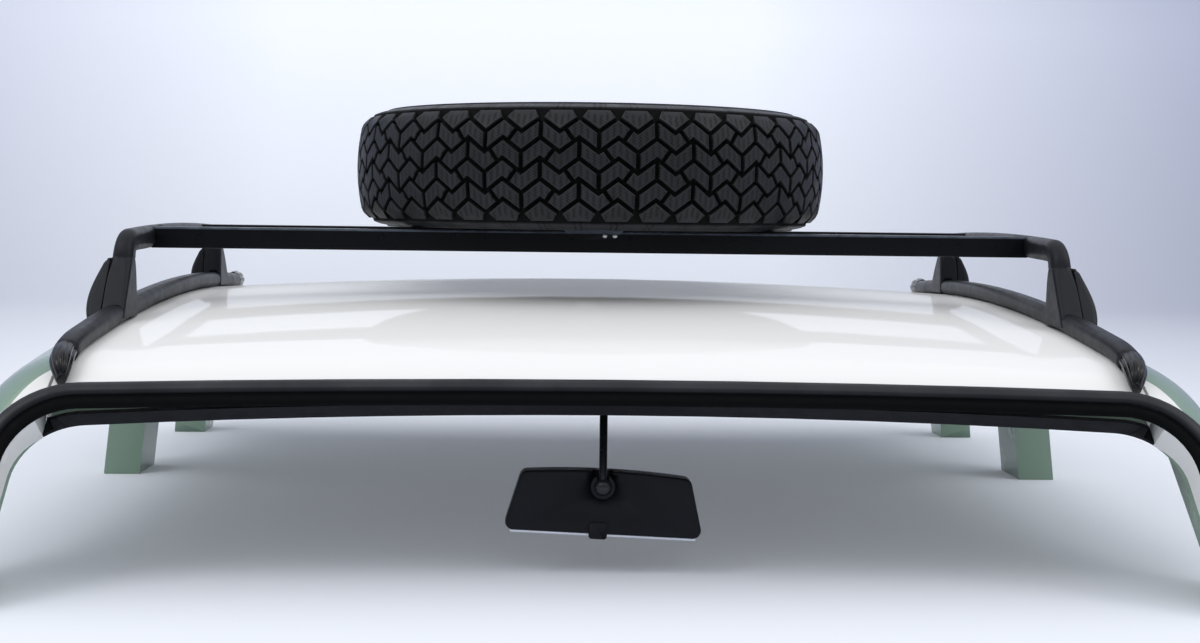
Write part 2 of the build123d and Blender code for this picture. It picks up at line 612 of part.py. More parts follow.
# Wheel carrier
def wheel_strap():
    """Flat steel strap between the bars' clips, drilled for the stud."""
    length = BAR_SPACING - BAR_DEPTH - 4 * FIT_GAP
    bar = Pos(0, 0, -STRAP_DROP - STRAP_THICK / 2) * Box(STRAP_WIDTH, length, STRAP_THICK)
    return bar - Cylinder(STUD_RADIUS + FIT_GAP, TYRE_WIDTH)


def bar_clip(y, outward):
    """Clip over a bar: rounded lip on the outer face, inner leg that holds the strap."""
    face_y = BAR_DEPTH / 2 + FIT_GAP
    top = FIT_GAP + CLIP_THICK
    corner = 0.6 * CLIP_LIP
    plate = Pos(0, 0, top - CLIP_THICK / 2) * Box(CLIP_WIDTH, 2 * (face_y + CLIP_THICK), CLIP_THICK)
    lip_face = make_face(Polyline((-CLIP_WIDTH / 2, top), (CLIP_WIDTH / 2, top), (CLIP_WIDTH / 2, top - 0.3 * CLIP_LIP),
                                  (CLIP_WIDTH / 3, -CLIP_LIP), (-CLIP_WIDTH / 3, -CLIP_LIP),
                                  (-CLIP_WIDTH / 2, top - 0.3 * CLIP_LIP), close=True))
    lip_face = fillet([point for point in lip_face.vertices() if point.Y < 0], corner)
    lip = Pos(0, outward * face_y, 0) * extrude(Plane.XZ * lip_face, -outward * CLIP_THICK)
    leg = Pos(0, -outward * (face_y + CLIP_THICK / 2), top - CLIP_LEG / 2) * Box(
        STRAP_WIDTH + 4 * CLIP_THICK, CLIP_THICK, CLIP_LEG)
    slot = Pos(0, -outward * BAR_DEPTH, -STRAP_DROP - STRAP_THICK / 2) * Box(
        STRAP_WIDTH + 2 * FIT_GAP, 2 * BAR_DEPTH, STRAP_THICK + 2 * FIT_GAP)
    return Pos(0, y, 0) * (plate.fuse(lip, leg).clean() - slot)


DISC_TOP = WHEEL_Z + DISC_OFFSET


def hold_down_stud():
    """Headed stud from under the strap up through the wheel's centre."""
    under = -STRAP_DROP - STRAP_THICK - FIT_GAP
    length = DISC_TOP + CLAMP_THICK + NUT_HEIGHT + STUD_SPARE - under
    shank = Pos(0, 0, under + length / 2) * Cylinder(STUD_RADIUS, length)
    head = Pos(0, 0, under - STUD_HEAD / 2) * Cylinder(STUD_HEAD_RADIUS, STUD_HEAD)
    return shank.fuse(head).clean()


def clamp_plate():
    """Dished plate that presses the wheel's centre down."""
    plate = Pos(0, 0, DISC_TOP + FIT_GAP + CLAMP_THICK / 2) * Cylinder(CLAMP_RADIUS, CLAMP_THICK)
    spigot_plug = Pos(0, 0, DISC_TOP - 3) * Cylinder(HUB_HOLE_RADIUS - 1, 8)
    return plate.fuse(spigot_plug).clean() - Cylinder(STUD_RADIUS + FIT_GAP, FAR)


def hand_nut():
    """Fluted plastic nut on the stud."""
    low = DISC_TOP + CLAMP_THICK + 2 * FIT_GAP
    knob = Cylinder(NUT_RADIUS, NUT_HEIGHT)
    flutes = PolarLocations(NUT_RADIUS + 0.43 * NUT_FLUTE, 6) * Cylinder(NUT_FLUTE, 2 * NUT_HEIGHT)
    bore = Cylinder(STUD_RADIUS + FIT_GAP, 2 * NUT_HEIGHT)
    return Pos(0, 0, low + NUT_HEIGHT / 2) * (knob - flutes - bore)


# Interior mirror
BALL = Vector(0, MIRROR_Y, BALL_Z)


def mirror_base():
    """Moulded foot under the header trim, domed below, that the stem comes out of."""
    half, high = BASE_WIDTH / 2, BASE_BOTTOM_Z + 2 * BASE_WIDTH
    ends = BASE_BOTTOM_Z + BASE_DOME
    front = make_face(Curve() + [
        ThreePointArc((-half, ends), (0, BASE_BOTTOM_Z), (half, ends)),
        Polyline((half, ends), (half, high), (-half, high), (-half, ends))])
    body = Pos(0, MIRROR_Y, 0) * extrude(Plane.XZ * front, BASE_DEPTH, both=True)
    plan = RectangleRounded(BASE_WIDTH, BASE_DEPTH, 0.4 * BASE_DEPTH)
    body &= Pos(0, MIRROR_Y, BASE_BOTTOM_Z) * extrude(plan, BASE_WIDTH)
    depth = ROOF_SKIN + HEADER_DEPTH + TRIM_SKIN + 2 * FIT_GAP
    room = carry(band(HEADER_HALF_WIDTH, -BASE_WIDTH, depth), HEADER_START_TURN, HEADER_END_TURN)
    bore = Pos(0, MIRROR_Y, BASE_BOTTOM_Z) * Cylinder(STEM_RADIUS + FIT_GAP, 2 * (STEM_HOLD + FIT_GAP))
    return body - room - bore


def mirror_stem():
    """Steel stem with the ball that the mirror swivels on."""
    length = BASE_BOTTOM_Z + STEM_HOLD - BALL_Z
    shank = Pos(0, MIRROR_Y, BALL_Z + length / 2) * Cylinder(STEM_RADIUS, length)
    return shank.fuse(Pos(*BALL) * Sphere(BALL_RADIUS)).clean()


def mirror_cup():
    """Split cup that holds the ball and turns with the mirror."""
    shell = Sphere(CUP_RADIUS) - Sphere(BALL_RADIUS + FIT_GAP)
    stem_way = Pos(0, 0, CUP_RADIUS) * Cylinder(STEM_RADIUS + 2.5, 2 * CUP_RADIUS)
    front = Pos(0, -0.25 * CUP_RADIUS - FAR / 2, 0) * Box(FAR, FAR, FAR)
    return Pos(*BALL) * (shell - stem_way - front)


def mirror_outline(inset=0.0):
    """Face of the mirror, narrower at the top, with a crowned upper edge."""
    low, high = MIRROR_BOTTOM_WIDTH / 2 - inset, MIRROR_TOP_WIDTH / 2 - inset
    height = MIRROR_HEIGHT / 2 - inset
    face = make_face(Curve() + [
        Polyline((-high, height), (-low, -height), (low, -height), (high, height)),
        ThreePointArc((high, height), (0, height + MIRROR_CROWN), (-high, height))])
    return fillet(face.vertices(), MIRROR_CORNER - 0.5 * inset)


def hung(shape):
    """Set a piece drawn about the housing's middle to its place, rolled about the ball."""
    return Pos(*BALL) * Rotation(0, MIRROR_ROLL, 0) * Pos(MIRROR_SHIFT, MIRROR_OFFSET, -MIRROR_DROP) * shape


def mirror_housing():
    """Rounded shell behind the glass, with the socket for the cup."""
    shell = extrude(Plane.XZ * mirror_outline(), -MIRROR_DEPTH)
    shell = fillet(shell.faces().sort_by(Axis.Y)[0].edges(), MIRROR_EDGE)
    recess = extrude(Plane.XZ.offset(MIRROR_LIP - MIRROR_DEPTH) * mirror_outline(MIRROR_LIP), -2 * MIRROR_LIP)
    slot_width = 2 * (STEM_RADIUS + 6)
    slot = Pos(*BALL) * Pos(0, -0.5 * CUP_RADIUS, MIRROR_HEIGHT / 2) * Box(slot_width, 3 * CUP_RADIUS, MIRROR_HEIGHT)
    return hung(shell - recess) - slot - Pos(*BALL) * Sphere(CUP_RADIUS + FIT_GAP)


def mirror_glass():
    """Silvered plate in the housing's rear recess."""
    back = MIRROR_LIP - MIRROR_DEPTH - FIT_GAP
    return hung(extrude(Plane.XZ.offset(back) * mirror_outline(MIRROR_LIP + FIT_GAP), -GLASS_THICK))


def mirror_tab():
    """Small lever hooked round the housing's lower edge for the night setting."""
    bottom = -MIRROR_HEIGHT / 2
    plan = RectangleRounded(TAB_WIDTH, TAB_HEIGHT, TAB_REACH - 1)
    plate = Pos(-MIRROR_SHIFT - 2, 0, bottom - TAB_REACH + TAB_HEIGHT / 2) * extrude(
        Plane.XZ.offset(FIT_GAP) * plan, TAB_THICK)
    hook = Pos(-MIRROR_SHIFT - 2, MIRROR_DEPTH / 4 - TAB_THICK / 2, bottom - FIT_GAP - (TAB_REACH - FIT_GAP) / 2) * Box(
        TAB_WIDTH - 2 * TAB_REACH, MIRROR_DEPTH / 2, TAB_REACH - FIT_GAP)
    return hung(plate.fuse(hook).clean())


# Assembly
def assemble():
    """Every piece by its name, in the drawing frame."""
    pieces = {"roof_panel": roof_panel()}
    left = body_side()
    pieces["body_side_left"] = left
    pieces["body_side_right"] = mirrored(left)
    pieces["front_header"] = front_header()
    pieces["rear_header"] = rear_header()
    pieces["header_trim"] = header_trim()
    pieces["headlining"] = headlining()
    pieces["windscreen_seal"] = windscreen_seal()

    saddle = rail(FIT_GAP)
    boots = {"front": boot(rail_front_turn(), degrees(BOOT_LENGTH / FRONT_RADIUS)),
             "rear": boot(long_turn_at(RAIL_REAR_Y), -degrees(BOOT_LENGTH / ROOF_RADIUS))}
    left_rail, left_member = rail(), side_member()
    sides = (("left", lambda shape: shape), ("right", mirrored))
    for side, place in sides:
        pieces["rail_" + side] = place(left_rail)
        pieces["rack_side_" + side] = place(left_member)
        for end, shape in boots.items():
            pieces["rail_boot_%s_%s" % (end, side)] = place(shape)
    for end, along in (("front", -1), ("rear", 1)):
        bar_y = along * BAR_SPACING / 2
        pieces["crossbar_" + end] = crossbar(bar_y)
        pieces["bar_clip_" + end] = bar_clip(bar_y, along)
        rail_z = turned(RAIL_Z - CREST_CENTRE_Z, long_turn_at(along * FOOT_Y))[1]
        leg, cover = foot(rail_z), foot_cover(rail_z)
        if along > 0:
            leg = mirror(leg, Plane.XZ)
            cover = mirrored(Rotation(0, 0, 180) * cover)
        leg -= saddle
        for side, place in sides:
            pieces["foot_%s_%s" % (end, side)] = place(leg)
            pieces["foot_cover_%s_%s" % (end, side)] = place(cover)
        if along > 0:
            pieces["foot_cover_rear_right"] = Rotation(0, 0, 180) * foot_cover(rail_z)

    for maker in (wheel_strap, hold_down_stud, clamp_plate, hand_nut, tyre, rim, mirror_base,
                  mirror_stem, mirror_cup, mirror_housing, mirror_glass, mirror_tab):
        pieces[maker.__name__] = maker()
    return pieces


def main():
    pieces = assemble()
    boxes = [shape.bounding_box() for shape in pieces.values()]
    low = [min(getattr(box.min, axis) for box in boxes) for axis in "XYZ"]
    high = [max(getattr(box.max, axis) for box in boxes) for axis in "XYZ"]
    shift = Vector(-(low[0] + high[0]) / 2, -(low[1] + high[1]) / 2, -low[2])
    os.makedirs("parts", exist_ok=True)
    for name, shape in pieces.items():
        export_step(shape.moved(Location(shift)), "parts/%s.step" % name)
    print("shift", shift, "low", low, "high", high)
    print("ball", BALL + shift, "front edge", FRONT_EDGE, "rail z", RAIL_Z + shift.Z)


main()
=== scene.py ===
import json
import math

import bmesh
import bpy
from mathutils import Matrix, Vector


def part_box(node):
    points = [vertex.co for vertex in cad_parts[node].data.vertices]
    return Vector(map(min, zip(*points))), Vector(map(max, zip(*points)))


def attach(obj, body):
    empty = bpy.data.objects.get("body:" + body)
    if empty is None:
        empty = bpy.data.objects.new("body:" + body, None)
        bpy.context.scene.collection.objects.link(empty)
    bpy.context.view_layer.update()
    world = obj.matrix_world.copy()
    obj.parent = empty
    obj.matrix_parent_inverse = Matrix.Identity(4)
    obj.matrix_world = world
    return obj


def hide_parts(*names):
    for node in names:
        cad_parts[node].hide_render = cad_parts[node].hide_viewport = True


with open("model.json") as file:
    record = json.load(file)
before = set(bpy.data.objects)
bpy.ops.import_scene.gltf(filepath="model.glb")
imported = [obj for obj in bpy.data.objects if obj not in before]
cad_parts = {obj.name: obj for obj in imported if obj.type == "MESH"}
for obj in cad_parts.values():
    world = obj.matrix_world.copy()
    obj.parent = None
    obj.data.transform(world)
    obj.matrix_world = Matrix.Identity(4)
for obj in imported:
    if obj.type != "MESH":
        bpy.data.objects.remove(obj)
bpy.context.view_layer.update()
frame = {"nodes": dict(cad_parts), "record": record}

nodes = frame["nodes"]

# Camera. It stands in front of the car, a little towards its right side and
# just above the roof, and looks slightly down with a hint of roll.
yaw, pitch, roll = (math.radians(a) for a in (2.19, -3.71, 0.72))
ahead = Vector((math.sin(yaw) * math.cos(pitch), math.cos(yaw) * math.cos(pitch), math.sin(pitch)))
level = Vector((math.cos(yaw), -math.sin(yaw), 0))
upright = level.cross(ahead)
across = level * math.cos(roll) + upright * math.sin(roll)
upwards = upright * math.cos(roll) - level * math.sin(roll)

camera = bpy.data.objects.new("camera", bpy.data.cameras.new("camera"))
camera.data.lens = 51
camera.data.sensor_width = 36
camera.data.clip_end = 60
camera.matrix_world = Matrix((across, upwards, -ahead)).transposed().to_4x4()
camera.location = (-0.0657, -2.0656, 0.3482)
bpy.context.collection.objects.link(camera)
bpy.context.scene.camera = camera


# White roof panel. Pressed steel in a solid gloss white, smooth enough to
# mirror the bars over it, with the faint orange peel of sprayed paint.
class Value:
    """A shader value. Arithmetic on it adds Math nodes."""

    def __init__(self, socket):
        self.socket = socket

    def math(self, operation, *others):
        tree = self.socket.id_data
        node = tree.nodes.new("ShaderNodeMath")
        node.operation = operation
        for slot, value in zip(node.inputs, (self,) + others):
            if isinstance(value, Value):
                tree.links.new(value.socket, slot)
            else:
                slot.default_value = value
        return Value(node.outputs[0])

    def __add__(self, other):
        return self.math("ADD", other)

    def __sub__(self, other):
        return self.math("SUBTRACT", other)

    def __mul__(self, other):
        return self.math("MULTIPLY", other)

    def __rsub__(self, other):
        return self.math("MULTIPLY_ADD", -1.0, other)

    __radd__, __rmul__ = __add__, __mul__

    def __abs__(self):
        return self.math("ABSOLUTE")

    def __lt__(self, other):
        return self.math("LESS_THAN", other)

    def __gt__(self, other):
        return self.math("GREATER_THAN", other)


class Nodes:
    """A shader tree that nodes are added to by one method."""

    def __init__(self, tree):
        self.tree = tree

    def node(self, kind, settings=None, inputs=None, output=0):
        node = self.tree.nodes.new(kind)
        for key, value in (settings or {}).items():
            setattr(node, key, value)
        for key, value in (inputs or {}).items():
            self.feed(node.inputs[key], value)
        return Value(node.outputs[output])

    def feed(self, slot, value):
        if isinstance(value, Value):
            self.tree.links.new(value.socket, slot)
        else:
            slot.default_value = value

    def mix(self, factor, low, high):
        return self.node("ShaderNodeMix", {"data_type": "RGBA"}, {0: factor, 6: low, 7: high}, output=2)

    def spread(self, value, low, high, out_low=0.0, out_high=1.0):
        return self.node("ShaderNodeMapRange", inputs={
            "Value": value, "From Min": low, "From Max": high, "To Min": out_low, "To Max": out_high})

    def part(self, vector, axis):
        return self.node("ShaderNodeSeparateXYZ", inputs={"Vector": vector}, output=axis)


class Finish(Nodes):
    """A material whose Principled shader is filled in socket by socket."""

    def __init__(self, name, **fixed):
        self.material = bpy.data.materials.new(name)
        self.material.use_nodes = True
        Nodes.__init__(self, self.material.node_tree)
        self.shader = self.tree.nodes["Principled BSDF"]
        for socket, value in fixed.items():
            self.set(socket.replace("_", " "), value)
        self.place = self.node("ShaderNodeTexCoord", output="Object")

    def set(self, socket, value):
        self.feed(self.shader.inputs[socket], value)

    def noise(self, scale, detail=3.0, roughness=0.5):
        return self.node("ShaderNodeTexNoise", inputs={
            "Vector": self.place, "Scale": scale, "Detail": detail, "Roughness": roughness})

    def speckle(self, scale):
        return self.node("ShaderNodeTexVoronoi", inputs={"Vector": self.place, "Scale": scale}, output="Distance")

    def bump(self, height, depth):
        self.set("Normal", self.node("ShaderNodeBump", inputs={
            "Height": height, "Distance": depth, "Strength": 1.0}, output="Normal"))


def linear(red, green, blue):
    """A colour as a picture shows it, from 0 to 255, for a shader's socket."""
    part = [(c / 255 / 12.92) if c <= 10 else ((c / 255 + 0.055) / 1.055) ** 2.4 for c in (red, green, blue)]
    return part + [1.0]


def add_mesh(name, shape, finish, crease=35):
    """Turn a bmesh into a finished object, smooth up to a crease in degrees."""
    bmesh.ops.recalc_face_normals(shape, faces=shape.faces)
    for face in shape.faces:
        face.smooth = True
    mesh = bpy.data.meshes.new(name)
    shape.to_mesh(mesh)
    shape.free()
    mesh.set_sharp_from_angle(angle=math.radians(crease))
    mesh.materials.append(finish.material)
    piece = bpy.data.objects.new(name, mesh)
    bpy.context.collection.objects.link(piece)
    return piece


bodies = {name: body for body, names in frame["record"]["behaviour"]["bodies"].items() for name in names}


def skin(finish, *names, crease=35, form=None):
    """Cover a solid with one smooth skin, so that gloss runs on unbroken; form may move its points."""
    for name in names:
        shape = bmesh.new()
        shape.from_mesh(nodes[name].data)
        bmesh.ops.remove_doubles(shape, verts=shape.verts, dist=2e-6)
        if form:
            form(shape, name)
        piece = add_mesh(name + "_skin", shape, finish, crease)
        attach(piece, bodies[name])
        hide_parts(name)


white_paint = Finish("white_paint", Specular_IOR_Level=0.0, Coat_Weight=0.42, Coat_Roughness=0.05, Coat_IOR=1.5)
white_paint.set("Base Color", white_paint.mix(white_paint.noise(3), linear(248, 249, 249), linear(252, 252, 252)))
white_paint.set("Roughness", white_paint.spread(white_paint.noise(9, 5), 0.3, 0.8, 0.3, 0.4))
white_paint.bump(white_paint.noise(420, 2), 0.00002)
skin(white_paint, "roof_panel", crease=25)

# Body sides. The cant rail and its pillars in sage green gloss. The frame's
# edge that the windscreen's seal grips is sprayed in the roof's white.
green_paint = Finish("green_paint", Specular_IOR_Level=0.2, Coat_Weight=0.7, Coat_Roughness=0.03, Coat_IOR=1.5)
sage = green_paint.mix(green_paint.noise(5), linear(130, 157, 138), linear(140, 166, 147))
rake_turn = math.radians(35)                # windscreen's lean and a point at its top edge
screen_top = Vector((0, -0.51015, 0.1924))
forward = green_paint.part(green_paint.place, "Y") * -math.cos(rake_turn)
forward = forward + green_paint.part(green_paint.place, "Z") * math.sin(rake_turn)
forward = forward - (-screen_top.y * math.cos(rake_turn) + screen_top.z * math.sin(rake_turn))
outward = abs(green_paint.part(green_paint.place, "X"))
edge_corner, edge_slope = 0.578, 0.35       # the white edge narrows towards the corner
frame_edge = (forward - outward * edge_slope > -0.010 - edge_corner * edge_slope) * (outward < edge_corner)
green_paint.set("Base Color", green_paint.mix(frame_edge, sage, linear(243, 244, 243)))
green_paint.set("Roughness", green_paint.spread(green_paint.noise(11, 4), 0.3, 0.8, 0.22, 0.3))
green_paint.bump(green_paint.noise(420, 2), 0.00002)
skin(green_paint, "body_side_left", "body_side_right", crease=25)

# Headers, lining and trim. Primed steel beams, a pale woven roof lining and
# a grained black strip that covers the front header.
primer = Finish("primer")
primer.set("Base Color", primer.mix(primer.noise(14, 5), linear(118, 140, 122), linear(128, 150, 132)))
primer.set("Roughness", primer.spread(primer.noise(40, 4), 0.3, 0.8, 0.45, 0.6))
skin(primer, "front_header", "rear_header")

lining_cloth = Finish("lining_cloth", Sheen_Weight=0.25)
knit = lining_cloth.speckle(900)
lining_cloth.set("Base Color", lining_cloth.mix(knit, linear(188, 186, 180), linear(205, 203, 198)))
lining_cloth.set("Roughness", 0.9)
lining_cloth.bump(knit, 0.0004)
skin(lining_cloth, "headlining")

grained_plastic = Finish("grained_plastic", Specular_IOR_Level=0.12)
grain = grained_plastic.speckle(1500)
grained_plastic.set("Base Color", grained_plastic.mix(
    grained_plastic.noise(20), linear(18, 20, 24), linear(26, 28, 33)))
grained_plastic.set("Roughness", grained_plastic.spread(grained_plastic.noise(60, 4), 0.3, 0.7, 0.5, 0.62))
grained_plastic.bump(grain, 0.00012)
skin(grained_plastic, "header_trim")

# Windscreen surround. Extruded rubber in two lobes: the outer one is broad,
# with a highlight painted along its crest, and the inner lip is matt and painted near black as shade.
# It is pressed over the frame's edge all round.
seal_half, seal_bend, seal_crown = 0.013, 0.074, 15.400    # half width, corner's and top's radius
seal_half_width = 0.551
crown_turn = math.asin((seal_half_width - seal_bend) / seal_crown)
side_turn = math.radians(5)
crown_middle = Vector((0, -seal_half - seal_crown))
bend_middle = crown_middle + Vector((math.sin(crown_turn), math.cos(crown_turn))) * (seal_crown - seal_bend)


def mark_lobes(shape, name):
    """Write how far each point lies across the seal, from -1 inside to 1 outside."""
    across_seal = shape.verts.layers.float.new("across_seal")
    for vert in shape.verts:
        rise = vert.co - screen_top
        climb = rise.y * math.sin(rake_turn) + rise.z * math.cos(rake_turn)
        point = Vector((abs(vert.co.x), climb))
        arm = point - bend_middle
        turn = math.atan2(arm.y, arm.x)
        if turn > math.pi / 2 - crown_turn:
            offset = (point - crown_middle).length - seal_crown
        elif turn > side_turn:
            offset = arm.length - seal_bend
        else:
            offset = arm.dot(Vector((math.cos(side_turn), math.sin(side_turn)))) - seal_bend
        vert[across_seal] = offset / seal_half


seal_rubber = Finish("seal_rubber", Specular_IOR_Level=0.05, Coat_Roughness=0.32)
outer_lobe = seal_rubber.spread(
    seal_rubber.node("ShaderNodeAttribute", {"attribute_name": "across_seal"}, output="Fac"), -0.18, 0.12)
# Painted highlight along the outer lobe's crest; painted shade on the inner lip.
ridge_highlight = seal_rubber.mix(seal_rubber.noise(30, 6, 0.6), linear(24, 25, 29), linear(46, 48, 54))
seal_rubber.set("Base Color", seal_rubber.mix(outer_lobe, linear(9, 10, 12), ridge_highlight))
seal_rubber.set("Roughness", seal_rubber.spread(seal_rubber.noise(90, 5), 0.3, 0.7, 0.5, 0.66))
seal_rubber.set("Coat Weight", outer_lobe * seal_rubber.spread(seal_rubber.noise(14, 4), 0.3, 0.7, 0.35, 0.75))
seal_rubber.bump(seal_rubber.noise(700, 3), 0.00006)
skin(seal_rubber, "windscreen_seal", form=mark_lobes)

# Rails and bars. Powder-coated steel rails, satin with a very fine texture,
# and glossier enamelled tubes between them, with a highlight painted along the front one's top edge.
powder_coat = Finish("powder_coat", Specular_IOR_Level=0.22)
powder_coat.set("Base Color", powder_coat.mix(powder_coat.noise(25, 4), linear(20, 22, 27), linear(29, 31, 37)))
powder_coat.set("Roughness", powder_coat.spread(powder_coat.noise(80, 4), 0.3, 0.7, 0.36, 0.46))
powder_coat.bump(powder_coat.noise(1600, 2), 0.00006)
skin(powder_coat, "rail_left", "rail_right")

bar_enamel = Finish("bar_enamel", Specular_IOR_Level=0.12)
enamel = bar_enamel.mix(bar_enamel.noise(25, 4), linear(9, 10, 13), linear(15, 17, 21))
edge_low, edge_full, edge_back = 0.3220, 0.3230, -0.1250   # where a highlight is painted along the front bar's top edge
# Painted highlight: a lighter strip along the front bar's top front edge, broken up by noise.
painted_edge_highlight = bar_enamel.spread(bar_enamel.part(bar_enamel.place, "Z"), edge_low, edge_full)
painted_edge_highlight = painted_edge_highlight * (bar_enamel.part(bar_enamel.place, "Y") < edge_back)
painted_edge_highlight = painted_edge_highlight * bar_enamel.spread(bar_enamel.noise(60, 5), 0.3, 0.6, 0.55, 1.0)
bar_enamel.set("Base Color", bar_enamel.mix(painted_edge_highlight, enamel, linear(84, 92, 104)))
bar_enamel.set("Roughness", bar_enamel.spread(bar_enamel.noise(70, 4), 0.3, 0.7, 0.26, 0.36))
bar_enamel.bump(bar_enamel.noise(1100, 2), 0.00004)
skin(bar_enamel, "crossbar_front", "crossbar_rear", "bar_clip_front", "bar_clip_rear")

# Boots over the rails' ends. Glossy moulded rubber, pushed on; the front
# ones are drawn in towards their tips and hang nearly plumb.
boot_slimming, boot_swing, end_share = 0.28, 0.007, 0.2


def draw_in(shape, name):
    """Slim a front boot towards its tip and let it hang more upright."""
    low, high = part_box(name)
    if low.y > 0:
        return
    side = 1 if name.endswith("left") else -1
    length = high.y - low.y
    mouth = [vert.co.x for vert in shape.verts if high.y - vert.co.y < end_share * length]
    tip = [vert.co.x for vert in shape.verts if vert.co.y - low.y < end_share * length]
    mouth, tip = (max(mouth) + min(mouth)) / 2, (max(tip) + min(tip)) / 2
    for vert in shape.verts:
        share = (high.y - vert.co.y) / length
        middle = mouth + (tip - mouth) * share
        vert.co.x = middle + (vert.co.x - middle) * (1 - boot_slimming * share ** 2) - side * boot_swing * share ** 2


boot_rubber = Finish("boot_rubber", Specular_IOR_Level=0.35)
boot_rubber.set("Base Color", boot_rubber.mix(boot_rubber.noise(60), linear(10, 10, 12), linear(16, 16, 19)))
boot_rubber.set("Roughness", boot_rubber.spread(boot_rubber.noise(120, 4), 0.3, 0.7, 0.12, 0.22))
boot_rubber.bump(boot_rubber.noise(500, 2), 0.00005)
ends = [(end, side) for end in ("front", "rear") for side in ("left", "right")]
skin(boot_rubber, *["rail_boot_%s_%s" % end for end in ends], form=draw_in)

# Rack feet and covers. Glass-filled black plastic, satin from the mould.
foot_plastic = Finish("foot_plastic", Specular_IOR_Level=0.22)
foot_plastic.set("Base Color", foot_plastic.mix(foot_plastic.noise(25, 4), linear(22, 24, 29), linear(31, 33, 39)))
foot_plastic.set("Roughness", foot_plastic.spread(foot_plastic.noise(90, 4), 0.3, 0.7, 0.36, 0.46))
foot_plastic.bump(foot_plastic.speckle(1800), 0.00008)
feet = ["%s_%s_%s" % ((piece,) + end) for piece in ("foot", "foot_cover") for end in ends]
elbow_z, elbow_top = 0.29246, 0.3235        # where the leg leaves its elbow, and the elbow's top
leg_middle, leg_half, leg_spread = 0.493, 0.019, 0.003
base_flare = 0.015                          # the solid's base reaches this much further out
shut_line, crest_depth = 0.5128, 0.014      # cover's inner face and the depth of its tip


def straighten(shape, name):
    """Stand the leg more upright and make its top as broad as its base, under the same cover."""
    side = 1 if name.endswith("left") else -1
    cover = name if "cover" in name else name.replace("foot", "foot_cover")
    low_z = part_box(cover)[0].z
    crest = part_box(name)[1].z - crest_depth
    for vert in shape.verts:
        along = side * vert.co.x
        share = min(max((elbow_z - vert.co.z) / (elbow_z - low_z), 0.0), 1.0)
        flare = base_flare * share ** 0.6
        if name == cover:
            along = shut_line + leg_spread + 0.002 * share + 1.1 * (along - shut_line - flare)
            vert.co.z -= 0.65 * max(vert.co.z - crest, 0.0)
        else:
            bend = min(max((elbow_top - vert.co.z) / (elbow_top - elbow_z), 0.0), 1.0)
            breadth = (leg_half + leg_spread * bend + 0.002 * share) / (leg_half + leg_spread * share + flare)
            along = leg_middle + (along - leg_middle + leg_spread * share) * breadth
        vert.co.x = side * along


skin(foot_plastic, "rack_side_left", "rack_side_right")
skin(foot_plastic, *feet, form=straighten)

# Wheel carrier. Zinc-plated strap, stud and clamp plate, with a black nut.
zinc = Finish("zinc", Metallic=1.0)
zinc.set("Base Color", zinc.mix(zinc.speckle(160), linear(176, 178, 180), linear(205, 206, 208)))
zinc.set("Roughness", zinc.spread(zinc.noise(60, 5), 0.3, 0.7, 0.3, 0.45))
skin(zinc, "wheel_strap", "hold_down_stud", "clamp_plate")
skin(grained_plastic, "hand_nut")

# Rim. Pressed steel wheel in silver-grey enamel.
wheel_enamel = Finish("wheel_enamel", Coat_Weight=0.2, Metallic=0.5)
wheel_enamel.set("Base Color", wheel_enamel.mix(
    wheel_enamel.noise(30, 5), linear(168, 170, 174), linear(186, 188, 191)))
wheel_enamel.set("Roughness", wheel_enamel.spread(wheel_enamel.noise(50, 5), 0.3, 0.7, 0.34, 0.46))
skin(wheel_enamel, "rim")

# Mirror. Black moulded base, cup and housing on a dark steel stem, with
# silvered glass held in the housing's lip.
mirror_plastic = Finish("mirror_plastic", Specular_IOR_Level=0.18)
mirror_plastic.set("Base Color", mirror_plastic.mix(
    mirror_plastic.noise(30, 4), linear(11, 13, 18), linear(17, 19, 26)))
mirror_plastic.set("Roughness", mirror_plastic.spread(mirror_plastic.noise(90, 4), 0.3, 0.7, 0.38, 0.5))
mirror_plastic.bump(mirror_plastic.speckle(1700), 0.00008)
base_share = 0.5                            # of the solid base's depth


def flatten(shape, name):
    """Press the base up against the header."""
    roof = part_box(name)[1].z
    for vert in shape.verts:
        vert.co.z = roof - base_share * (roof - vert.co.z)


skin(mirror_plastic, "mirror_cup", "mirror_housing", "mirror_tab")
skin(mirror_plastic, "mirror_base", form=flatten)
stem_steel = Finish("stem_steel", Metallic=0.3)
stem_steel.set("Base Color", stem_steel.mix(stem_steel.noise(80), linear(24, 26, 31), linear(34, 36, 42)))
stem_steel.set("Roughness", stem_steel.spread(stem_steel.noise(200), 0.3, 0.7, 0.25, 0.35))
skin(stem_steel, "mirror_stem")
silvering = Finish("silvering", Metallic=1.0, Roughness=0.03)
silvering.set("Base Color", silvering.mix(silvering.noise(4), linear(222, 226, 232), linear(228, 231, 236)))
glass_materials = nodes["mirror_glass"].data.materials
glass_materials.clear()
glass_materials.append(silvering.material)

# Bright edge of the mirror. A thin strip let into the housing's lower edge, rounded at both ends,
# painted near white as the highlight on the glass's edge; it swivels and tilts with the housing.
ball = Vector((0, -0.47035, 0.088))
strip_size, strip_place = (0.178, 0.0030, 0.0034), (0.003, 0.0095, -0.0476)
mirror_roll = math.radians(2.7)
edge_strip = bmesh.new()
bmesh.ops.create_cube(edge_strip, size=1)
bmesh.ops.scale(edge_strip, vec=strip_size, verts=edge_strip.verts)
bmesh.ops.bevel(edge_strip, geom=edge_strip.edges[:], offset=0.0011, segments=3, profile=0.5,
                affect="EDGES", material=-1)
bmesh.ops.translate(edge_strip, vec=strip_place, verts=edge_strip.verts)
bmesh.ops.rotate(edge_strip, cent=(0, 0, 0), matrix=Matrix.Rotation(mirror_roll, 3, "Y"), verts=edge_strip.verts)
bmesh.ops.translate(edge_strip, vec=ball, verts=edge_strip.verts)
polished = Finish("polished", Metallic=0.6)
